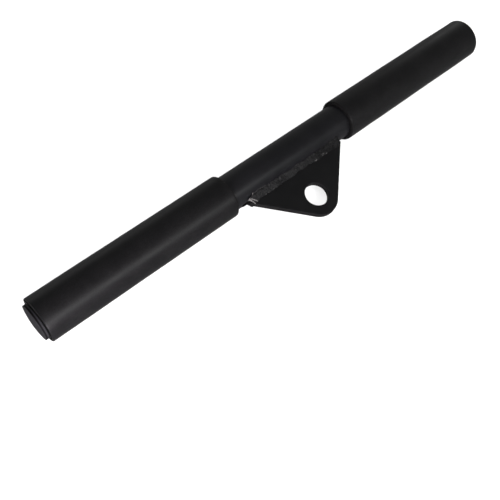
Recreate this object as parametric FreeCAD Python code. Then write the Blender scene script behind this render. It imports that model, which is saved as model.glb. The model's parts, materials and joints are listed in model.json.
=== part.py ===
"""Short pull-up bar: a steel tube with an eye plate welded under its middle, foam grips and end caps.

Every sub-part is drawn in the bar's working frame: X along the tube's axis, the eye plate pointing
to -Y, and Z through the plate's thickness. The set is then tilted and lifted so that it lies as it
does on a floor: on both grips and on the tip of the plate. Millimetres.
"""

import FreeCAD, Part
import math
import os

# Tube
TUBE_DIAMETER = 28.0
TUBE_WALL = 2.0

# Grips
GRIP_DIAMETER = 34.0
GRIP_LENGTH = 159.0
GRIP_SPACING = 119.0  # bare tube between the two grips
GRIP_INNER_ROUNDING = 1.3  # soft shoulder that faces the middle of the bar
GRIP_OUTER_ROUNDING = 0.8

# Eye plate
PLATE_THICKNESS = 5.0
PLATE_FOOT = 95.0  # length of the edge that is welded to the tube
PLATE_BLUNT_END = 2.4  # short square end below the tube's surface
TIP_RADIUS = 15.6
TIP_DROP = 41.4  # tube's axis to the centre of the tip's arc
PLATE_EDGE_ROUNDING = 0.5
EYE_DIAMETER = 19.0
EYE_DROP = 39.3  # tube's axis to the centre of the eye
EYE_EDGE_ROUNDING = 0.4

# Weld beads
WELD_LEG = 4.2  # from the tube down the plate's face
WELD_RISE = 3.6  # from the plate's face round the tube
WELD_CROWN = 0.5  # how far the bead's face bulges
WELD_SETBACK = 1.5  # the side beads stop this far inside the plate's ends
END_WELD_LENGTH = 8.5
END_WELD_RADIUS = 4.9  # where it meets the side beads
END_WELD_TIP_RADIUS = 1.2  # where it has run out inside the tube's surface
END_WELD_SINK = 2.0  # depth of its middle line below the tube's surface

# End caps
CAP_HEAD_DIAMETER = 27.2
CAP_HEAD_THICKNESS = 2.4
CAP_DOME = 1.2
CAP_EDGE_ROUNDING = 0.3
CAP_GROOVE_RISE = 1.3  # from under the head to the groove round its side
CAP_GROOVE_WIDTH = 0.6
CAP_GROOVE_DEPTH = 0.6
CAP_STANDOFF = 0.6  # gap left between the tube's end and the head
CAP_PLUG_LENGTH = 18.0
CAP_PLUG_DIAMETER = 21.8
CAP_PLUG_WALL = 1.6
CAP_RIB_WIDTH = 1.2
CAP_RIB_PITCH = 5.0
CAP_RIB_COUNT = 3

TUBE_RADIUS = TUBE_DIAMETER / 2
BORE_RADIUS = TUBE_RADIUS - TUBE_WALL
GRIP_RADIUS = GRIP_DIAMETER / 2
HALF_BAR = GRIP_SPACING / 2 + GRIP_LENGTH
HALF_PLATE = PLATE_THICKNESS / 2
HALF_FOOT = PLATE_FOOT / 2
HALF_BEAD = HALF_FOOT - WELD_SETBACK
PLATE_TIP = TIP_DROP + TIP_RADIUS

ALONG_BAR = FreeCAD.Vector(1, 0, 0)
UP = FreeCAD.Vector(0, 0, 1)


def point(x, y, z=0.0):
    return FreeCAD.Vector(x, y, z)


def line(start, end):
    return Part.LineSegment(start, end).toShape()


def arc(start, middle, end):
    return Part.Arc(start, middle, end).toShape()


def corner_arc(start, centre, end):
    """Quarter-round between two points that are equally far from its centre."""
    radius = start.sub(centre).Length
    outward = start.add(end).multiply(0.5).sub(centre).normalize()
    return arc(start, centre.add(outward.multiply(radius)), end)


def rod(radius, x_start, length):
    """Solid cylinder on the tube's axis."""
    return Part.makeCylinder(radius, length, point(x_start, 0), ALONG_BAR)


def turned(edges):
    """Solid of revolution about the tube's axis, from a closed outline in the plane Z = 0."""
    face = Part.Face(Part.Wire(edges))
    return face.revolve(point(0, 0), ALONG_BAR, 360)


def at_other_end(shape):
    return shape.mirror(point(0, 0), ALONG_BAR)


def make_tube():
    outside = rod(TUBE_RADIUS, -HALF_BAR, 2 * HALF_BAR)
    return outside.cut(rod(BORE_RADIUS, -HALF_BAR - 1, 2 * HALF_BAR + 2))


def make_right_grip():
    """Foam sleeve on the tube: a soft shoulder at its inner end and a nearly square outer end."""
    inner_x = GRIP_SPACING / 2
    shoulder = point(inner_x + GRIP_INNER_ROUNDING, GRIP_RADIUS - GRIP_INNER_ROUNDING)
    shoulder_low = point(inner_x, shoulder.y)
    shoulder_high = point(shoulder.x, GRIP_RADIUS)
    lip = point(HALF_BAR - GRIP_OUTER_ROUNDING, GRIP_RADIUS - GRIP_OUTER_ROUNDING)
    lip_high = point(lip.x, GRIP_RADIUS)
    lip_low = point(HALF_BAR, lip.y)
    inner_foot = point(inner_x, TUBE_RADIUS)
    outer_foot = point(HALF_BAR, TUBE_RADIUS)
    return turned([
        line(inner_foot, shoulder_low),
        corner_arc(shoulder_low, shoulder, shoulder_high),
        line(shoulder_high, lip_high),
        corner_arc(lip_high, lip, lip_low),
        line(lip_low, outer_foot),
        line(outer_foot, inner_foot),
    ])


def cap_head_edges(base_x, inner_x, plug_radius):
    """Outline of the head, from the middle of its hollow underside round to the plug."""
    head_radius = CAP_HEAD_DIAMETER / 2
    face_x = base_x + CAP_HEAD_THICKNESS
    face_radius = head_radius - CAP_EDGE_ROUNDING
    crown = point(face_x + CAP_DOME, 0)
    dome_radius = (face_radius**2 + CAP_DOME**2) / (2 * CAP_DOME)
    half_angle = math.asin(face_radius / dome_radius) / 2
    crown_side = point(
        crown.x - dome_radius * (1 - math.cos(half_angle)),
        dome_radius * math.sin(half_angle),
    )
    face_rim = point(face_x, face_radius)
    side_rim = point(face_x - CAP_EDGE_ROUNDING, head_radius)
    groove_x = base_x + CAP_GROOVE_RISE
    groove_radius = head_radius - CAP_GROOVE_DEPTH
    side = [
        side_rim,
        point(groove_x + CAP_GROOVE_WIDTH, head_radius),
        point(groove_x + CAP_GROOVE_WIDTH, groove_radius),
        point(groove_x, groove_radius),
        point(groove_x, head_radius),
        point(base_x, head_radius),
        point(base_x, plug_radius),
    ]
    return [
        line(point(inner_x, 0), crown),
        arc(crown, crown_side, face_rim),
        corner_arc(face_rim, point(side_rim.x, face_radius), side_rim),
        *[line(start, end) for start, end in zip(side, side[1:])],
    ]


def cap_plug_points(base_x, inner_x, plug_radius):
    """Outline of the ribbed plug, from under the head, along the ribs and back up its bore."""
    points = [point(base_x, plug_radius)]
    for i in range(CAP_RIB_COUNT):
        rib_x = base_x - (i + 0.6) * CAP_RIB_PITCH
        points.append(point(rib_x + CAP_RIB_WIDTH / 2, plug_radius))
        points.append(point(rib_x + CAP_RIB_WIDTH / 2, BORE_RADIUS))
        points.append(point(rib_x - CAP_RIB_WIDTH / 2, BORE_RADIUS))
        points.append(point(rib_x - CAP_RIB_WIDTH, plug_radius))
    plug_end = base_x - CAP_PLUG_LENGTH
    hollow_radius = plug_radius - CAP_PLUG_WALL
    points.append(point(plug_end, plug_radius))
    points.append(point(plug_end, hollow_radius))
    points.append(point(inner_x, hollow_radius))
    points.append(point(inner_x, 0))
    return points


def make_right_end_cap():
    """Domed head off the tube's end, with a hollow ribbed plug that is pressed into the tube."""
    plug_radius = CAP_PLUG_DIAMETER / 2
    base_x = HALF_BAR + CAP_STANDOFF
    inner_x = base_x + CAP_HEAD_THICKNESS - CAP_PLUG_WALL
    edges = cap_head_edges(base_x, inner_x, plug_radius)
    plug = cap_plug_points(base_x, inner_x, plug_radius)
    edges += [line(start, end) for start, end in zip(plug, plug[1:])]
    return turned(edges)


def tangent_point(corner, centre, radius):
    """Where a straight edge from the plate's right corner meets the tip's arc."""
    to_corner = corner.sub(centre)
    angle = math.atan2(to_corner.y, to_corner.x) - math.acos(radius / to_corner.Length)
    return centre.add(point(radius * math.cos(angle), radius * math.sin(angle)))


def plate_outline():
    """Wide triangle with short square ends and a round tip, closed along the tube's axis."""
    right_foot = point(HALF_FOOT, 0)
    right_corner = point(HALF_FOOT, -TUBE_RADIUS - PLATE_BLUNT_END)
    right_tangent = tangent_point(right_corner, point(0, -TIP_DROP), TIP_RADIUS)
    left_tangent = point(-right_tangent.x, right_tangent.y)
    left_corner = point(-HALF_FOOT, right_corner.y)
    left_foot = point(-HALF_FOOT, 0)
    return Part.Wire([
        line(left_foot, right_foot),
        line(right_foot, right_corner),
        line(right_corner, right_tangent),
        arc(right_tangent, point(0, -PLATE_TIP), left_tangent),
        line(left_tangent, left_corner),
        line(left_corner, left_foot),
    ])


def is_rim_edge(edge):
    """An edge of either flat face, along the slanted sides and the tip."""
    box = edge.BoundBox
    return box.ZLength < 1e-6 and box.YMax < -TUBE_RADIUS - PLATE_BLUNT_END + 1e-3


def is_eye_edge(edge):
    curve = edge.Curve
    return isinstance(curve, Part.Circle) and abs(curve.Radius - EYE_DIAMETER / 2) < 1e-6


def make_eye_plate():
    """Flat plate, coped to the tube along its foot, with an eye near its tip and softened edges."""
    blank = Part.Face(plate_outline()).extrude(point(0, 0, PLATE_THICKNESS))
    blank.translate(point(0, 0, -HALF_PLATE))
    blank = blank.makeFillet(PLATE_EDGE_ROUNDING, [e for e in blank.Edges if is_rim_edge(e)])
    coped = blank.cut(rod(TUBE_RADIUS, -HALF_FOOT - 1, PLATE_FOOT + 2))
    eye_start = point(0, -EYE_DROP, -HALF_PLATE - 1)
    pierced = coped.cut(Part.makeCylinder(EYE_DIAMETER / 2, PLATE_THICKNESS + 2, eye_start, UP))
    return pierced.makeFillet(EYE_EDGE_ROUNDING, [e for e in pierced.Edges if is_eye_edge(e)])


def make_upper_weld():
    """Slightly crowned fillet bead between the plate's upper face and the tube."""
    top_z = HALF_PLATE + WELD_RISE
    plate_toe = point(-HALF_BEAD, -TUBE_RADIUS - WELD_LEG, HALF_PLATE)
    tube_toe = point(-HALF_BEAD, -math.sqrt(TUBE_RADIUS**2 - top_z**2), top_z)
    inside_tube = point(-HALF_BEAD, -TUBE_RADIUS + WELD_RISE, HALF_PLATE)
    across = tube_toe.sub(plate_toe)
    outward = point(0, -across.z, across.y).normalize()
    crown = plate_toe.add(tube_toe).multiply(0.5).add(outward.multiply(WELD_CROWN))
    section = Part.Wire([
        arc(plate_toe, crown, tube_toe),
        line(tube_toe, inside_tube),
        line(inside_tube, plate_toe),
    ])
    bead = Part.Face(section).extrude(point(2 * HALF_BEAD, 0, 0))
    return bead.cut(rod(TUBE_RADIUS, -HALF_FOOT, PLATE_FOOT))


def make_right_end_weld(eye_plate):
    """Tapering bead that wraps the right end of the plate's foot and runs out along the tube."""
    start = point(HALF_BEAD, -TUBE_RADIUS + END_WELD_SINK)
    bead = Part.makeCone(END_WELD_RADIUS, END_WELD_TIP_RADIUS, END_WELD_LENGTH, start, ALONG_BAR)
    return bead.cut(rod(TUBE_RADIUS, 0, HALF_BAR)).cut(eye_plate)


def resting_tilt():
    """Angle below level at which the plate's rounded tip touches the floor under the grips."""
    along = PLATE_TIP - PLATE_EDGE_ROUNDING
    across = HALF_PLATE - PLATE_EDGE_ROUNDING
    rise = GRIP_RADIUS - PLATE_EDGE_ROUNDING
    return math.asin(rise / math.hypot(along, across)) - math.atan2(across, along)


def lay_down(shape):
    """Tilts a piece about the tube's axis and lifts it to the floor, centred under the whole bar."""
    tilt = resting_tilt()
    along = PLATE_TIP - PLATE_EDGE_ROUNDING
    across = HALF_PLATE - PLATE_EDGE_ROUNDING
    tip_reach = along * math.cos(tilt) + across * math.sin(tilt) + PLATE_EDGE_ROUNDING
    laid = shape.copy()
    laid.rotate(point(0, 0), ALONG_BAR, math.degrees(tilt))
    laid.translate(point(0, (tip_reach - GRIP_RADIUS) / 2, GRIP_RADIUS))
    return laid


def make_parts():
    eye_plate = make_eye_plate()
    right_grip = make_right_grip()
    right_end_cap = make_right_end_cap()
    upper_weld = make_upper_weld()
    right_end_weld = make_right_end_weld(eye_plate)
    return {
        "bar_tube": make_tube(),
        "eye_plate": eye_plate,
        "upper_weld": upper_weld,
        "lower_weld": upper_weld.mirror(point(0, 0), UP),
        "left_end_weld": at_other_end(right_end_weld),
        "right_end_weld": right_end_weld,
        "left_grip": at_other_end(right_grip),
        "right_grip": right_grip,
        "left_end_cap": at_other_end(right_end_cap),
        "right_end_cap": right_end_cap,
    }


os.makedirs("parts", exist_ok=True)
for name, shape in make_parts().items():
    laid = lay_down(shape)
    solids = laid.Solids
    if len(solids) != 1 or not laid.isValid():
        raise RuntimeError(f"{name} is not one valid solid")
    solids[0].exportStep(f"parts/{name}.step")
    box = laid.optimalBoundingBox()
    print(f"{name}: volume {laid.Volume:.0f}, Z {box.ZMin:.2f}..{box.ZMax:.2f}")
print(f"plate tilt {math.degrees(resting_tilt()):.3f} degrees")
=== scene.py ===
import json
import math

import bpy
from mathutils import Matrix, Quaternion, Vector, noise


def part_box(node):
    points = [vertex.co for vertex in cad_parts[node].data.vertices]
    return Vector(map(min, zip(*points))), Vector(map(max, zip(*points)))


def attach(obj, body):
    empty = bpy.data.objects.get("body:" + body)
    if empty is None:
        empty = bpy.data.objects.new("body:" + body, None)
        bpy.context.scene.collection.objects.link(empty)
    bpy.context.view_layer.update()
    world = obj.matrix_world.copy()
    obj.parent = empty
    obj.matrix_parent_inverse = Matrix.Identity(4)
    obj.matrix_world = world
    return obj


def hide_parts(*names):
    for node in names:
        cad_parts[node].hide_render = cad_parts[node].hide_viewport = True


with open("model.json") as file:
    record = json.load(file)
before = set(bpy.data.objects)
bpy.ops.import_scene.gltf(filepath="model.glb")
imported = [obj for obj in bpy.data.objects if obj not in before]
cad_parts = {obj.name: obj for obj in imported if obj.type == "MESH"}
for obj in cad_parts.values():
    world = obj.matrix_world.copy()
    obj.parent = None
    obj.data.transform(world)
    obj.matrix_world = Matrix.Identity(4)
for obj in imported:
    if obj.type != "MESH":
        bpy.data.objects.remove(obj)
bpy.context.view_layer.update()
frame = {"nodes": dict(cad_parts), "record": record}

# The looks of a short pull-up bar: foam grips on a powder-coated tube, with a welded eye plate.
# Pieces are drawn in the bar's own frame, as the CAD model is: X along the tube, the eye plate
# towards -Y, and Z through the plate's thickness. BAR_FRAME then lays them where the CAD lies.

MM = 0.001


# ---------------------------------------------------------------- measures taken from the frame

def find_bar_frame():
    """The bar's own frame: on the tube's axis, turned so that Z is the eye's axis."""
    low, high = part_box("bar_tube")
    eye = next(m for m in frame["record"]["mounts"] if m["name"] == "eye")
    tilt = math.atan2(-eye["axis"][1], eye["axis"][2])
    return Matrix.Translation((low + high) / 2) @ Matrix.Rotation(tilt, 4, "X")


BAR_FRAME = find_bar_frame()
TO_BAR = BAR_FRAME.inverted()
AXIS_CENTRE = BAR_FRAME.to_translation()


def bar_box(node):
    """Lowest and highest corner of a CAD node, in the bar's own frame."""
    points = [TO_BAR @ v.co for v in frame["nodes"][node].data.vertices]
    return Vector(map(min, zip(*points))), Vector(map(max, zip(*points)))


GRIP_LOW, GRIP_HIGH = bar_box("right_grip")
END_LOW, END_HIGH = bar_box("right_end_weld")
TUBE_HIGH = bar_box("bar_tube")[1]
PLATE_HIGH = bar_box("eye_plate")[1]

GRIP_RADIUS = GRIP_HIGH.z
TUBE_RADIUS = TUBE_HIGH.z
HALF_PLATE = PLATE_HIGH.z
HALF_FOOT = PLATE_HIGH.x
CAP_GROOVE_MIDDLE = TUBE_HIGH.x + 2.2 * MM  # the groove round a cap's side, from the bar's middle


# ---------------------------------------------------------------- meshes

def add_piece(name, points, faces, materials, stands_for, face_material=None):
    """Puts a mesh from the bar's own frame in place, as the shown form of some CAD nodes."""
    laid = [BAR_FRAME @ Vector(p) for p in points]
    for p in laid:
        p.z = max(p.z, 0)  # pressed flat where it rests on the floor
    mesh = bpy.data.meshes.new(name)
    mesh.from_pydata(laid, [], faces)
    for material in materials:
        mesh.materials.append(material)
    for polygon in mesh.polygons:
        polygon.use_smooth = True
        if face_material:
            polygon.material_index = face_material(polygon.index)
    mesh.update()
    piece = bpy.data.objects.new(name, mesh)
    bpy.context.scene.collection.objects.link(piece)
    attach(piece, "root")
    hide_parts(*stands_for)
    return piece


def ring_faces(rings, around, closed):
    """Quads between rings of points. A closed set joins its last ring to its first."""
    faces = []
    for i in range(rings if closed else rings - 1):
        low = i * around
        high = (i + 1) % rings * around
        for j in range(around):
            k = (j + 1) % around
            faces.append((low + j, low + k, high + k, high + j))
    return faces


def quarter(centre_x, centre_r, radius, start, steps):
    """Points of a quarter-round of a lathe outline, in (x, radius), from the angle start."""
    turn = -math.pi / 2 / steps
    angles = [start + i * turn for i in range(steps + 1)]
    return [(centre_x + radius * math.cos(a), centre_r + radius * math.sin(a)) for a in angles]


def between(start, end, steps):
    """Points from start towards end, without either."""
    shares = [i / steps for i in range(1, steps)]
    return [tuple(a + (b - a) * s for a, b in zip(start, end)) for s in shares]


# ---------------------------------------------------------------- foam grips

GRIP_INNER_ROUNDING = 1.3 * MM
GRIP_OUTER_ROUNDING = 0.8 * MM
GRIP_BORE_GAP = 0.02 * MM
GRIP_AROUND = 160
GRIP_STATIONS = 72
GRIP_WAVE = 0.10 * MM  # height of the skin's slow unevenness, and its length
GRIP_WAVE_LENGTH = 34 * MM
GRIP_DIMPLE = 0.035 * MM  # height of its quicker unevenness, and its length
GRIP_DIMPLE_LENGTH = 7 * MM
GRIP_CUT = 0.12 * MM  # how far the cut ends wander along the bar, and over what length round it
GRIP_CUT_LENGTH = 9 * MM
GRIP_CUT_FALLOFF = 24  # a high power, so that only the ends wander
GRIP_SHADED_SHOULDER = 0.7  # share of the inner shoulder with the cut foam's darker finish: cut foam without skin, and painted shade where the sleeve meets the tube
GRIP_SEED = Vector((3.7, 1.9, 8.3))


def grip_outline():
    """Closed outline of a sleeve, from its inner end, over the skin, and back along its bore."""
    inner, outer = GRIP_LOW.x, GRIP_HIGH.x
    bore = TUBE_RADIUS + GRIP_BORE_GAP
    skin_start = (inner + GRIP_INNER_ROUNDING, GRIP_RADIUS)
    skin_end = (outer - GRIP_OUTER_ROUNDING, GRIP_RADIUS)
    shoulder = quarter(
        skin_start[0], GRIP_RADIUS - GRIP_INNER_ROUNDING, GRIP_INNER_ROUNDING, math.pi, 7)
    lip = quarter(
        skin_end[0], GRIP_RADIUS - GRIP_OUTER_ROUNDING, GRIP_OUTER_ROUNDING, math.pi / 2, 6)
    inner_foot, outer_foot = (inner, bore), (outer, bore)
    return (
        [inner_foot] + between(inner_foot, shoulder[0], 5)
        + shoulder + between(skin_start, skin_end, GRIP_STATIONS)
        + lip + between(lip[-1], outer_foot, 5)
        + [outer_foot] + between(outer_foot, inner_foot, 12)
    )


def foam_point(x, radius, angle, seed):
    """A point of the sleeve, with the slight unevenness of soft foam."""
    around = Vector((0, math.cos(angle), math.sin(angle))) * GRIP_RADIUS
    place = Vector((x, 0, 0)) + around
    skin = max(0, (radius - TUBE_RADIUS) / (GRIP_RADIUS - TUBE_RADIUS))
    wave = noise.noise(place / GRIP_WAVE_LENGTH + seed)
    dimple = noise.noise(place / GRIP_DIMPLE_LENGTH + seed)
    radius += skin * (GRIP_WAVE * wave + GRIP_DIMPLE * dimple)
    middle = (GRIP_LOW.x + GRIP_HIGH.x) / 2
    end = min(1, abs(x - middle) / (middle - GRIP_LOW.x)) ** GRIP_CUT_FALLOFF
    x += end * GRIP_CUT * noise.noise(around / GRIP_CUT_LENGTH + seed)
    return x, radius * math.cos(angle), radius * math.sin(angle)


def make_grip(name, side, node, materials):
    """A foam sleeve: +1 at the bar's right end, -1 at its left."""
    outline = grip_outline()
    seed = GRIP_SEED * (2 + side)
    points = []
    for x, radius in outline:
        for j in range(GRIP_AROUND):
            angle = 2 * math.pi * j / GRIP_AROUND
            px, py, pz = foam_point(x, radius, angle, seed)
            points.append((side * px, py, pz))
    faces = ring_faces(len(outline), GRIP_AROUND, closed=True)
    if side < 0:
        faces = [face[::-1] for face in faces]
    # Faces with the cut foam's finish; on the inner shoulder it is painted shade.
    cut = cut_and_shaded_rings(outline)
    add_piece(
        name, points, faces, materials, [node],
        lambda index: 1 if index // GRIP_AROUND in cut else 0)


def cut_and_shaded_rings(outline):
    """The rings of faces with the cut foam's finish: the ends and the bore, which are cut foam,
    and most of the inner shoulder, where it is also painted shade.
    """
    inner, outer = GRIP_LOW.x, GRIP_HIGH.x
    rings = set()
    for i, (start, end) in enumerate(zip(outline, outline[1:] + outline[:1])):
        inner_end = max(start[0], end[0]) < inner + GRIP_SHADED_SHOULDER * GRIP_INNER_ROUNDING
        outer_end = min(start[0], end[0]) > outer - 1e-7
        bore = start[1] == end[1] and start[1] < GRIP_RADIUS - 1 * MM
        if inner_end or outer_end or bore:
            rings.add(i)
    return rings


# ---------------------------------------------------------------- weld beads

BEAD_STATIONS = 560
BEAD_ACROSS = 32
BEAD_HALF_LENGTH = HALF_FOOT + 0.5 * MM
BEAD_RIGHT_STOP = 1.4 * MM  # how much shorter it is at its right end
BEAD_TAPER = 1.8 * MM  # length over which an end closes
CURLED_TAPER = 0.8 * MM
BEAD_TIP_SHARE = 0.05  # size of an end's last section, beside a full one
BEAD_LEG = 3.5 * MM  # from the tube down the plate's face
BEAD_TOE = 27.0  # degrees round the tube, from the plate's middle to the bead's upper toe
BEAD_BULGE = 0.25 * MM
BEAD_SINK = 0.35 * MM  # its hidden side lies this deep in the steel
TOE_SINK = 0.06 * MM  # and its two toes this deep
FADE_START, FADE_END = 28 * MM, 42 * MM  # where its relief drops to half

# Places where the torch lingered or hurried: middle and half width (mm), and how much more leg
# (mm), toe (degrees) or ridge.
LEG_SWELLS = [
    (-45, 3, 1), (1, 4.5, -0.8), (11, 2.5, -0.8), (20.5, 3.5, 0.9), (29, 4, 0.5), (42, 5, 1),
]
TOE_SWELLS = [(-41, 11, 4.5), (-19, 4, 2), (-5, 3, -3), (8, 3, -3), (23, 3, -3), (43, 8, 6)]
RIDGE_SWELLS = [(-33, 6, 0.25), (-18, 5, 0.9), (3, 5, 0.3)]

# Flecks of bare steel near the plate's toe: middle (mm), place across the bead, size (mm).
FLECKS = [
    (-33.4, 0.05, 0.5), (-30.8, 0.02, 0.4), (-25.8, 0.08, 0.4),
    (18.6, 0.18, 0.8), (27.0, 0.20, 1.1), (30.2, 0.06, 0.7),
]

# The curl at the curled bead's left end: two lengths in millimetres, then places across the bead.
CURL_MIDDLE = 0.60  # from the bead's end to the middle of the first crescent
CURL_SPACING = 3.3  # from there to the second, at the plate's toe
CURL_MEETING = 0.74  # where the two meet
CURL_REACH = 0.78  # where the second fades out, and the bead's end starts to slant back downwards
CURL_TOP = 0.80  # where the bead's end starts to slant back upwards


def smooth_step(value, low, high):
    share = max(0.0, min(1.0, (value - low) / (high - low)))
    return share * share * (3 - 2 * share)


def hump(value, centre, width):
    return math.exp(-((value - centre) / width) ** 2)


def swell(x, swells):
    return sum(height * hump(x, middle * MM, width * MM) for middle, width, height in swells)


def bead_noise(x, size, row, layer):
    """Noise that changes over this many millimetres along a bead, from one of many patterns."""
    return noise.noise(Vector((x / (size * MM), row, layer)))


def bead_toes(x, seed):
    """Where the bead meets the plate's face and the tube."""
    slow = bead_noise(x, 9, seed, 0.3)
    quick = bead_noise(x, 1.9, seed, 7.7)
    fine = bead_noise(x, 0.8, seed, 3.1)
    leg = BEAD_LEG + (swell(x, LEG_SWELLS) + 0.3 * slow + 0.5 * quick + 0.4 * fine) * MM
    toe = math.radians(BEAD_TOE + swell(x, TOE_SWELLS) + 2 * slow - 4 * quick - 2 * fine)
    plate_toe = Vector((x, -TUBE_RADIUS - leg, HALF_PLATE))
    tube_toe = Vector((x, -TUBE_RADIUS * math.cos(toe), TUBE_RADIUS * math.sin(toe)))
    return plate_toe, tube_toe


def bead_relief(x, across, seed):
    """Height of the crumbly, slantwise streaked face of a painted bead, in millimetres."""
    slant = x + 6 * MM * across
    wander = 1.5 * bead_noise(slant, 4, 1.2 * across, seed)
    ridge = math.sin(2 * math.pi * (slant / (2.7 * MM) + wander))
    strength = max(0, bead_noise(slant, 7, seed, 4.2) + 0.3)
    strength += swell(x, RIDGE_SWELLS)
    lump = bead_noise(slant, 2.4, 2.2 * across, seed + 2.5)
    crumb = bead_noise(x, 1.0, 5.0 * across, seed + 5.5)
    grain = bead_noise(x, 0.5, 9 * across, seed + 8.5)
    streak = bead_noise(slant, 5, 5.5 * across, seed + 11.5)
    return 0.26 * strength * ridge + 0.26 * lump + 0.30 * crumb + 0.10 * grain + 0.20 * streak


def curl_stroke(across, from_end):
    """The two bright crescents that the last weld pool left at the curled bead's left end."""
    wander = 0.35 * noise.noise(Vector((6 * across, 2.6, 0.4)))
    first = hump(from_end, (CURL_MIDDLE + wander) * MM, 0.50 * MM)
    spacing = CURL_SPACING * math.sqrt(max(0, 1 - across / CURL_MEETING))
    second = hump(from_end, (CURL_MIDDLE + spacing - wander) * MM, 0.42 * MM)
    return max(first, second * smooth_step(CURL_REACH - across, 0, 0.15))


def curled_shift(across):
    """How far the curled bead's left end is drawn back. Below 0 it hangs over."""
    below = 4.0 * max(0, CURL_REACH - across)
    above = min(4.5, 400 * max(0, across - CURL_TOP) ** 2)
    return (below + above - 1.2) * MM


def undercut(x):
    """The stretch where the bead's upper toe stands up in dashes beside a groove."""
    window = smooth_step(x, -46 * MM, -41 * MM) * smooth_step(-x, 30 * MM, 33 * MM)
    return window * (0.6 + 0.8 * bead_noise(x, 1.7, 0.3, 9.9))


def fleck(x, across):
    """How strongly the nearest fleck of bare steel shows here."""
    return max(
        hump(x + 3 * MM * (across - place), middle * MM, size * MM)
        * hump(across, place, 0.10 * size)
        for middle, place, size in FLECKS)


def curled_details(x, across, from_end):
    """Height (mm) and mark of the curled bead's crescents, flecks and undercut."""
    stroke = curl_stroke(across, from_end)
    speck = fleck(x, across)
    cut = undercut(x)
    toe_line = cut * hump(across, 0.97, 0.025)
    groove = cut * hump(across, 0.84, 0.07)
    height = 0.42 * stroke + 0.15 * speck + 0.14 * toe_line - 0.34 * groove
    grit = 0.5 + bead_noise(x, 0.6, 9 * across, 1.7)
    bare = max(
        stroke * smooth_step(grit, -0.2, 0.4),
        0.6 * speck * smooth_step(grit, 0.2, 0.8),
        0.25 * toe_line)
    # Below zero in the groove beside the upper toe: painted shade.
    return height, bare - groove * (1 - stroke)


def bead_point(x, across, from_end, seed, curled):
    """A point of a bead above the plate, and its mark.

    across runs from the plate's toe to the tube's. A mark is bare steel (up to 1) or painted shade
    (down to -1).
    """
    plate_toe, tube_toe = bead_toes(x, seed)
    chord = tube_toe - plate_toe
    outward = Vector((0, -chord.z, chord.y)).normalized()
    dome = 4 * across * (1 - across)
    fading = 1 - 0.5 * smooth_step(x, FADE_START, FADE_END)
    height = BEAD_BULGE * dome + math.sqrt(dome) * bead_relief(x, across, seed) * fading * MM
    mark = 0
    if curled:
        extra, mark = curled_details(x, across, from_end)
        height += extra * MM
    edge = smooth_step(across, 0, 0.04) * smooth_step(1 - across, 0, 0.03)
    raised = outward * (height * edge - TOE_SINK * (1 - edge))
    return plate_toe.lerp(tube_toe, across) + raised, mark


def bead_ring(x, seed, share, curled):
    """One closed section of a bead and its marks. share shrinks it towards its root."""
    from_end = x + BEAD_HALF_LENGTH
    near_end = smooth_step(-x, 36 * MM, 46 * MM) if curled else 0
    ring, marks = [], []
    for j in range(BEAD_ACROSS):
        across = j / (BEAD_ACROSS - 1)
        place, mark = bead_point(
            x + near_end * curled_shift(across), across, from_end, seed, curled)
        ring.append(place)
        marks.append(mark)
    sunk = Vector((0, BEAD_SINK, -BEAD_SINK))
    root = Vector((x, -TUBE_RADIUS + BEAD_SINK, HALF_PLATE - BEAD_SINK))
    ring += [ring[-1] + sunk, root, ring[0] + sunk]
    marks += [0, 0, 0]
    return [Vector((p.x, *root.lerp(p, share).yz)) for p in ring], marks


def make_bead(name, side, node, seed, material, curled=False):
    """A side bead: +1 on the plate's upper face, -1 under the plate."""
    left_taper = CURLED_TAPER if curled else BEAD_TAPER
    left_end, right_end = -BEAD_HALF_LENGTH, BEAD_HALF_LENGTH - BEAD_RIGHT_STOP
    points, marks = [], []
    for i in range(BEAD_STATIONS):
        x = left_end + (right_end - left_end) * i / (BEAD_STATIONS - 1)
        into = min(1.0, (x - left_end) / left_taper, (right_end - x) / BEAD_TAPER)
        share = BEAD_TIP_SHARE + (1 - BEAD_TIP_SHARE) * math.sqrt(1 - (1 - into) ** 2)
        ring, ring_marks = bead_ring(x, seed, share, curled)
        points += [(p.x, p.y, side * p.z) for p in ring]
        marks += ring_marks
    faces = closed_rod_faces(BEAD_STATIONS, BEAD_ACROSS + 3, turned=side > 0)
    add_weld(name, points, faces, material, node, marks)


def closed_rod_faces(stations, around, turned):
    """Faces between rings of points, with both ends closed. turned faces them the other way."""
    faces = ring_faces(stations, around, closed=False)
    faces.append(tuple(range(around))[::-1])
    faces.append(tuple(range((stations - 1) * around, stations * around)))
    return [face[::-1] for face in faces] if turned else faces


def add_weld(name, points, faces, material, node, marks):
    """Puts a weld in place. Its material reads each point's mark: bare steel + or painted shade -.
    """
    piece = add_piece(name, points, faces, [material], [node])
    layer = piece.data.attributes.new("weld_marks", "FLOAT", "POINT")
    layer.data.foreach_set("value", marks)


END_STATIONS = 72
END_AROUND = 56
END_START = 2.4 * MM  # an end bead starts this far inside the CAD form
END_REACH = 1.8 * MM  # and runs out this far past it
END_SINK = 2 * MM  # depth of its middle line below the tube's surface
END_RIPPLE = 2.2 * MM  # spacing of its ripples
END_THINNEST = 0.3 * MM  # thinner than this it is smooth


def end_bead_radius(along, thick, thin):
    """Half thickness of an end bead, from its root inside the side beads to its run-out."""
    taper = thick + (thin - thick) * along
    root = math.sqrt(1 - (1 - min(1, along / 0.12)) ** 2)
    tip = math.sqrt(1 - max(0, (along - 0.9) / 0.1) ** 2)
    return taper * (0.25 + 0.75 * root) * tip


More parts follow.
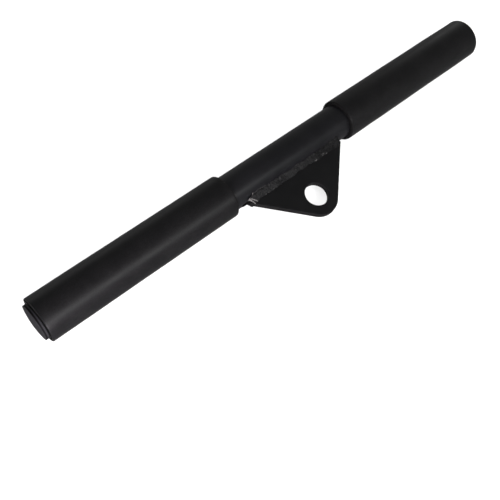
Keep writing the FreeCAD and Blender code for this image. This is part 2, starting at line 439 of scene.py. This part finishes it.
def make_end_bead(name, side, node, seed, material, thick, thin, bareness):
    """The weld round one end of the plate: +1 at its right end, -1 at its left."""
    start, end = END_LOW.x - END_START, END_HIGH.x + END_REACH
    middle_y = -TUBE_RADIUS + END_SINK
    points, marks = [], []
    for i in range(END_STATIONS):
        along = i / (END_STATIONS - 1)
        x = start + (end - start) * along
        radius = end_bead_radius(along, thick, thin)
        for j in range(END_AROUND):
            angle = 2 * math.pi * j / END_AROUND
            ray = Vector((0, math.cos(angle), math.sin(angle)))
            place = Vector((x, 0, 0)) + ray * 5 * MM
            lump = noise.noise(place / (2.6 * MM) + Vector((seed, 0, 0)))
            grain = noise.noise(place / (0.8 * MM) + Vector((0, seed, 0)))
            ripple = 0.5 + 0.5 * math.sin(2 * math.pi * x / END_RIPPLE + 4 * lump)
            swollen = radius * (1 + 0.09 * lump) + 0.12 * MM * ripple + 0.09 * MM * grain
            if radius < END_THINNEST:
                swollen = radius
            points.append((side * x, middle_y + ray.y * swollen, ray.z * swollen))
            marks.append(bareness * smooth_step(lump + 0.6 * grain, 0.15, 0.4))
    faces = closed_rod_faces(END_STATIONS, END_AROUND, turned=side > 0)
    add_weld(name, points, faces, material, node, marks)


# ---------------------------------------------------------------- materials

class Finish:
    """One material and short calls for its nodes. Sizes are in metres."""

    def __init__(self, name):
        self.material = bpy.data.materials.new(name)
        self.material.use_nodes = True
        self.nodes = self.material.node_tree.nodes
        self.links = self.material.node_tree.links
        self.shader = self.nodes["Principled BSDF"]
        self.place = self.nodes.new("ShaderNodeTexCoord").outputs["Object"]

    def along(self):
        """Distance along the bar, from its middle."""
        node = self.nodes.new("ShaderNodeSeparateXYZ")
        self.links.new(self.place, node.inputs[0])
        return node.outputs["X"]

    def stretched(self, factors):
        """The place with each axis scaled. A pattern is drawn out where its factor is small."""
        node = self.nodes.new("ShaderNodeVectorMath")
        node.operation = "MULTIPLY"
        self.links.new(self.place, node.inputs[0])
        node.inputs[1].default_value = factors
        return node.outputs[0]

    def cloud(self, size, detail=3, rough=0.5, place=None):
        node = self.nodes.new("ShaderNodeTexNoise")
        node.inputs["Scale"].default_value = 1 / size
        node.inputs["Detail"].default_value = detail
        node.inputs["Roughness"].default_value = rough
        self.links.new(place or self.place, node.inputs["Vector"])
        return node.outputs["Fac"]

    def cells(self, size, place=None):
        node = self.nodes.new("ShaderNodeTexVoronoi")
        node.feature = "SMOOTH_F1"
        node.inputs["Scale"].default_value = 1 / size
        self.links.new(place or self.place, node.inputs["Vector"])
        return node.outputs["Distance"]

    def spread(self, value, low, high, new_low=0.0, new_high=1.0):
        """The value with low to high spread over new_low to new_high, and cut off beyond them."""
        node = self.nodes.new("ShaderNodeMapRange")
        self.links.new(value, node.inputs["Value"])
        node.inputs["From Min"].default_value = low
        node.inputs["From Max"].default_value = high
        node.inputs["To Min"].default_value = new_low
        node.inputs["To Max"].default_value = new_high
        return node.outputs["Result"]

    def combine(self, kind, first, second):
        node = self.nodes.new("ShaderNodeMath")
        node.operation = kind
        for socket, value in zip(node.inputs, (first, second)):
            if isinstance(value, (int, float)):
                socket.default_value = value
            else:
                self.links.new(value, socket)
        return node.outputs[0]

    def blend(self, share, first, second):
        node = self.nodes.new("ShaderNodeMix")
        node.data_type = "RGBA"
        self.links.new(share, node.inputs["Factor"])
        for socket, value in ((node.inputs["A"], first), (node.inputs["B"], second)):
            self.set_or_link(self.colour_socket(node, socket.name), value)
        return next(o for o in node.outputs if o.type == "RGBA")

    def colour_socket(self, node, name):
        return next(s for s in node.inputs if s.name == name and s.type == "RGBA")

    def set_or_link(self, socket, value):
        if isinstance(value, (tuple, list)):
            socket.default_value = (*value, 1)
        else:
            self.links.new(value, socket)

    def bump(self, height, depth, strength=1.0, under=None):
        node = self.nodes.new("ShaderNodeBump")
        node.inputs["Strength"].default_value = strength
        node.inputs["Distance"].default_value = depth
        self.links.new(height, node.inputs["Height"])
        if under:
            self.links.new(under, node.inputs["Normal"])
        return node.outputs["Normal"]

    def give(self, **values):
        names = {
            "colour": "Base Color", "roughness": "Roughness", "metallic": "Metallic",
            "normal": "Normal", "specular": "Specular IOR Level",
        }
        for key, value in values.items():
            socket = self.shader.inputs[names[key]]
            if isinstance(value, (int, float)):
                socket.default_value = value
            else:
                self.set_or_link(socket, value)
        return self.material


# Near black, painted shade on the welds.
SHADE_BLACK = (0.0045, 0.0045, 0.0048)
BARE_STEEL = (0.50, 0.48, 0.47)
CAP_GROOVE_SHADE_FREE = 0.62 * MM  # no painted shade this far from the groove's middle
CAP_GROOVE_SHADE_FULL = 0.42 * MM  # all painted shade this near to it


def foam_skin():
    """Closed-cell foam with a fine matte skin: small pits, faint drawn lines and slow mottling."""
    f = Finish("foam_skin")
    mottle = f.spread(f.cloud(14 * MM, 4, 0.6), 0.35, 0.65)
    lines = f.cloud(1.1 * MM, 2, 0.5, f.stretched((0.04, 1, 1)))
    pits = f.spread(f.cells(0.55 * MM), 0.15, 0.55)
    colour = f.blend(mottle, (0.0095, 0.0092, 0.0100), (0.0135, 0.0130, 0.0138))
    colour = f.blend(pits, (0.0060, 0.0058, 0.0062), colour)
    grain = f.combine("ADD", f.combine("MULTIPLY", pits, 0.7), f.combine("MULTIPLY", lines, 0.5))
    normal = f.bump(grain, 0.02 * MM, 0.6)
    normal = f.bump(f.cloud(5 * MM, 3), 0.10 * MM, 0.5, normal)
    rough = f.spread(f.combine("MULTIPLY", mottle, lines), 0.1, 0.6, 0.37, 0.45)
    return f.give(colour=colour, roughness=rough, normal=normal, specular=0.2)


def foam_cut_and_shade():
    """Cut end of the foam, with its cells open. Being darker, it is also painted shade on the
    inner shoulder.
    """
    f = Finish("foam_cut_and_shade")
    cells = f.spread(f.cells(0.7 * MM), 0.1, 0.5)
    fine = f.cloud(0.4 * MM, 3)
    colour = f.blend(cells, (0.0035, 0.0035, 0.0035), (0.0110, 0.0108, 0.0112))
    normal = f.bump(f.combine("ADD", cells, fine), 0.15 * MM, 0.8)
    return f.give(colour=colour, roughness=0.9, normal=normal, specular=0.15)


def powder_coat(name, dark, light, rough_low, rough_high, specular):
    """Black powder coat: orange peel, fine texture and slow changes in gloss."""
    f = Finish(name)
    patches = f.spread(f.cloud(22 * MM, 4, 0.6), 0.35, 0.65)
    peel = f.cloud(1.3 * MM, 2, 0.4)
    specks = f.cloud(0.28 * MM, 2, 0.5)
    colour = f.blend(patches, dark, light)
    dust = f.spread(f.cloud(0.9 * MM, 4, 0.7), 0.66, 0.74, 0, 0.25)
    colour = f.blend(dust, colour, (0.035, 0.035, 0.036))
    normal = f.bump(peel, 0.03 * MM, 0.45)
    normal = f.bump(specks, 0.012 * MM, 0.35, normal)
    rough = f.spread(patches, 0, 1, rough_low, rough_high)
    return f.give(colour=colour, roughness=rough, normal=normal, specular=specular)


def weld_paint(name, dark, light, specular):
    """Paint over a rough bead: rubbed to steel where marked, painted shade where marked below
    zero, and darker and less glossy to the right as painted shade.
    """
    f = Finish(name)
    marked = f.nodes.new("ShaderNodeAttribute")
    marked.attribute_name = "weld_marks"
    bare = f.spread(marked.outputs["Fac"], 0, 1)
    painted_shade = f.spread(marked.outputs["Fac"], 0, -0.8)
    scuffs = f.spread(f.cloud(0.9 * MM, 4, 0.7), 0.62, 0.70, 0, 0.4)
    bare = f.combine("MAXIMUM", bare, f.combine("MULTIPLY", scuffs, specular))
    grime = f.spread(f.cloud(1.6 * MM, 4, 0.7), 0.38, 0.62)
    # Painted shade: darker and less glossy towards the right.
    darker_to_right = f.spread(f.along(), 2 * MM, 26 * MM, 0, 0.8)
    darker_to_right = f.combine("MULTIPLY", darker_to_right, f.spread(grime, 0, 1, 1, 0.6))
    shade = f.combine("MAXIMUM", painted_shade, darker_to_right)
    colour = f.blend(shade, f.blend(grime, dark, light), SHADE_BLACK)
    colour = f.blend(bare, colour, BARE_STEEL)
    normal = f.bump(f.cloud(0.4 * MM, 4, 0.6), 0.08 * MM, 0.6)
    rough = f.spread(grime, 0, 1, 0.60, 0.46)
    rough = f.combine("SUBTRACT", rough, f.combine("MULTIPLY", bare, 0.1))
    gloss = f.spread(shade, 0, 1, specular, 0.35 * specular)
    return f.give(colour=colour, roughness=rough, normal=normal, metallic=bare, specular=gloss)


def moulded_plastic():
    """Satin black moulded plastic with a fine spark-eroded grain, and painted shade in the groove.
    """
    f = Finish("cap_plastic_satin")
    grain = f.cloud(0.35 * MM, 3, 0.6)
    tint = f.spread(f.cloud(6 * MM, 3), 0.3, 0.7)
    from_groove = f.combine("SUBTRACT", f.combine("ABSOLUTE", f.along(), 0), CAP_GROOVE_MIDDLE)
    from_groove = f.combine("ABSOLUTE", from_groove, 0)
    # Painted shade: the groove round the cap's side is darker and less glossy.
    groove_shade = f.spread(from_groove, CAP_GROOVE_SHADE_FREE, CAP_GROOVE_SHADE_FULL)
    colour = f.blend(tint, (0.026, 0.0255, 0.029), (0.032, 0.031, 0.035))
    colour = f.blend(groove_shade, colour, (0.0085, 0.0085, 0.009))
    normal = f.bump(grain, 0.02 * MM, 0.5)
    rough = f.spread(grain, 0.3, 0.7, 0.54, 0.66)
    gloss = f.spread(groove_shade, 0, 1, 0.12, 0.04)
    return f.give(colour=colour, roughness=rough, normal=normal, specular=gloss)


def pale_floor():
    f = Finish("pale_floor")
    tone = f.spread(f.cloud(0.6, 3), 0.3, 0.7)
    colour = f.blend(tone, (0.90, 0.90, 0.90), (0.93, 0.93, 0.93))
    return f.give(colour=colour, roughness=0.95, specular=0.1)


def pale_backdrop():
    """An evenly lit paper wall."""
    material = bpy.data.materials.new("pale_backdrop")
    material.use_nodes = True
    nodes = material.node_tree.nodes
    glow = nodes.new("ShaderNodeEmission")
    glow.inputs["Color"].default_value = (1, 1, 1, 1)
    material.node_tree.links.new(glow.outputs[0], nodes["Material Output"].inputs["Surface"])
    return material


# ---------------------------------------------------------------- studio

LENS = 50.246
SENSOR = 36.0
CAMERA_FROM_AXIS = Vector((-270.03, -234.07, 409.94)) * MM
AIM_FROM_AXIS = Vector((-76.67, -47.48, 0.0)) * MM
CAMERA_ROLL = math.radians(5.12)
WORLD_STRENGTH = 0.25
STAGE_RADIUS = 6.0
BACKDROP_HEIGHT = 3.0
BACKDROP_SIDES = 96
WHITE, LILAC = (1, 1, 1), (1.0, 0.92, 1.0)

# Name, watts, place and aim from the tube's middle, width and height (all in metres), colour.
SOFTBOXES = [
    ("key_softbox", 3.6, (0.0, -0.85, 0.42), (-0.05, 0, 0), 0.7, 0.22, WHITE),
    ("left_softbox", 0.62, (-0.285, -0.22, 0.05), (-0.225, 0, 0), 0.05, 0.05, LILAC),
    ("back_softbox", 0.6, (0, 1.0, 0.28), (0, 0, 0), 0.8, 0.3, WHITE),
    ("right_back_softbox", 0.4, (0.95, 0.5, 0.25), (0, 0, 0), 0.4, 0.3, WHITE),
    ("left_back_softbox", 0.7, (-0.95, 0.5, 0.25), (0, 0, 0), 0.4, 0.3, WHITE),
]


def make_camera():
    data = bpy.data.cameras.new("camera")
    data.lens = LENS
    data.sensor_width = SENSOR
    data.clip_start = 0.01
    data.clip_end = 50
    camera = bpy.data.objects.new("camera", data)
    sight = AIM_FROM_AXIS - CAMERA_FROM_AXIS
    level = sight.to_track_quat("-Z", "Y")
    camera.rotation_mode = "QUATERNION"
    camera.rotation_quaternion = level @ Quaternion((0, 0, 1), CAMERA_ROLL)
    camera.location = AXIS_CENTRE + CAMERA_FROM_AXIS
    bpy.context.scene.collection.objects.link(camera)
    bpy.context.scene.camera = camera


def make_stage():
    """A pale floor inside a pale round backdrop. Neither shows in the object's gloss."""
    h = STAGE_RADIUS
    corners = [(-h, -h, 0), (h, -h, 0), (h, h, 0), (-h, h, 0)]
    floor = add_stage_piece("floor", corners, [(0, 1, 2, 3)], pale_floor())
    rim = [2 * math.pi * i / BACKDROP_SIDES for i in range(BACKDROP_SIDES)]
    points = [(h * math.cos(a), h * math.sin(a), z) for z in (0, BACKDROP_HEIGHT) for a in rim]
    faces = ring_faces(2, BACKDROP_SIDES, closed=False)
    backdrop = add_stage_piece("backdrop", points, faces, pale_backdrop())
    backdrop.visible_diffuse = False
    backdrop.visible_shadow = False
    return floor


def add_stage_piece(name, points, faces, material):
    mesh = bpy.data.meshes.new(name)
    mesh.from_pydata(points, [], faces)
    mesh.materials.append(material)
    piece = bpy.data.objects.new(name, mesh)
    piece.visible_glossy = False
    bpy.context.scene.collection.objects.link(piece)
    return piece


def add_light(name, kind, energy, place, aim, **settings):
    data = bpy.data.lights.new(name, kind)
    data.energy = energy
    for key, value in settings.items():
        setattr(data, key, value)
    light = bpy.data.objects.new(name, data)
    light.location = place
    light.visible_camera = False
    light.rotation_mode = "QUATERNION"
    light.rotation_quaternion = (Vector(aim) - Vector(place)).to_track_quat("-Z", "Y")
    bpy.context.scene.collection.objects.link(light)
    return light


def light_only(light, thing):
    """The light falls on this thing alone; everything still casts its shadow there."""
    group = bpy.data.collections.new(light.name + "_falls_on")
    group.objects.link(thing)
    light.light_linking.receiver_collection = group


def make_lights(floor):
    """Soft light for the bar, and two suns that fall on the floor alone."""
    wash = add_light("floor_wash", "SUN", 0.6, (0, -0.1, 2.0), (0, 0, 0), angle=math.radians(120))
    fill = add_light("floor_fill", "SUN", 2.4, (0, 0, 2.0), (0, 0, 0), use_shadow=False)
    light_only(wash, floor)
    light_only(fill, floor)
    for name, watts, place, aim, width, height, colour in SOFTBOXES:
        add_light(
            name, "AREA", watts, AXIS_CENTRE + Vector(place), AXIS_CENTRE + Vector(aim),
            shape="RECTANGLE", size=width, size_y=height, color=colour)


def make_world():
    world = bpy.data.worlds.new("studio")
    world.use_nodes = True
    background = world.node_tree.nodes["Background"]
    background.inputs["Color"].default_value = (1, 1, 1, 1)
    background.inputs["Strength"].default_value = WORLD_STRENGTH
    bpy.context.scene.world = world
    bpy.context.scene.view_settings.view_transform = "Standard"


def finish_node(node, material):
    """Gives a CAD node that keeps its shape its material."""
    piece = frame["nodes"][node]
    for holder in piece.material_slots:
        holder.material = material


# ---------------------------------------------------------------- the whole

def make_bar():
    foam = [foam_skin(), foam_cut_and_shade()]
    make_grip("left_foam_grip", -1, "left_grip", foam)
    make_grip("right_foam_grip", 1, "right_grip", foam)
    weld = weld_paint("weld_paint", (0.0085, 0.0085, 0.0090), (0.0150, 0.0150, 0.0158), 0.30)
    # Near black all over: painted shade for the hollow under the plate's left end, worn by the
    # left run-out.
    painted_shade = weld_paint("weld_painted_shade", (0.0020, 0.0020, 0.0022), (0.0045, 0.0044, 0.0046), 0.05)
    make_bead("upper_weld_bead", 1, "upper_weld", 1.3, weld, curled=True)
    make_bead("lower_weld_bead", -1, "lower_weld", 6.1, weld)
    make_end_bead("left_weld_runout", -1, "left_end_weld", 2.2, painted_shade, 3.9 * MM, 2.3 * MM, 0)
    make_end_bead("right_weld_runout", 1, "right_end_weld", 9.4, weld, 3.0 * MM, 1.3 * MM, 0.4)
    tube_coat = powder_coat(
        "tube_powder_coat", (0.0085, 0.0085, 0.0102), (0.012, 0.012, 0.0140), 0.34, 0.42, 0.25)
    plate_coat = powder_coat(
        "plate_powder_coat", (0.0085, 0.0085, 0.009), (0.0115, 0.0115, 0.012), 0.52, 0.60, 0.15)
    finish_node("bar_tube", tube_coat)
    finish_node("eye_plate", plate_coat)
    plastic = moulded_plastic()
    finish_node("left_end_cap", plastic)
    finish_node("right_end_cap", plastic)


make_camera()
make_world()
make_bar()
make_lights(make_stage())
